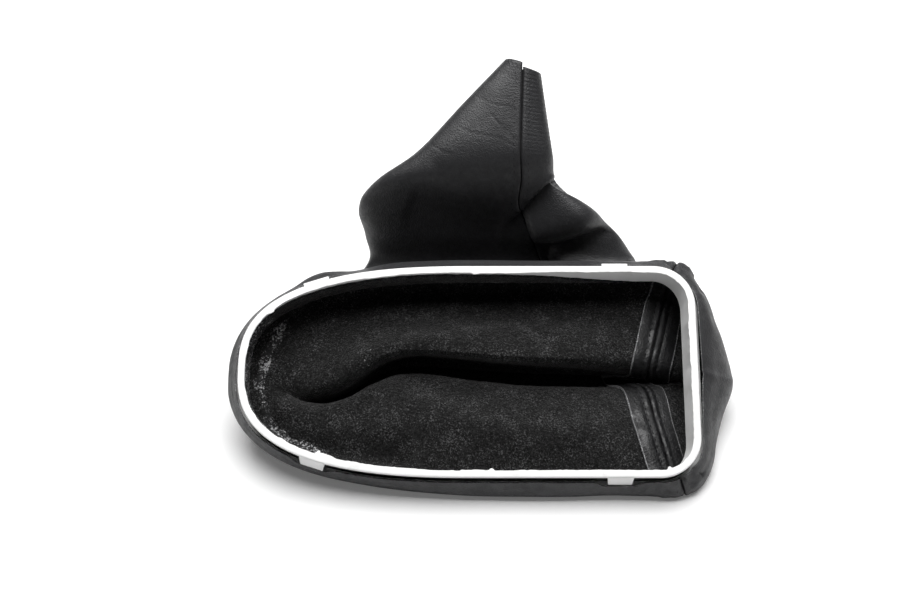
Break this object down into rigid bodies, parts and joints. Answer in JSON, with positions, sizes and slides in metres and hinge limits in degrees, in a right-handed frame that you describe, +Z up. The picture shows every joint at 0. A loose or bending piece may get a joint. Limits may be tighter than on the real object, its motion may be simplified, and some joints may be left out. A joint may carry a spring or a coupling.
{
  "type": "gear lever gaiter",
  "caption": "Collapsed leatherette gear lever bag on a D-shaped white frame that clips into a car's console.",
  "frame": {"origin": "under the middle of the whole part, on the surface that it lies on", "axes": "+X towards the frame's square end, +Y back towards the sleeve, +Z up from the surface"},
  "size_m": [0.2126, 0.1796, 0.1047],
  "materials": {
    "frame": "moulded white plastic, satin",
    "leatherette": "black grained leatherette with a matte felt back"
  },
  "bodies": {
    "root": {"clip_frame": "frame", "main_panel": "leatherette", "rear_panel": "leatherette"}
  },
  "joints": []
}
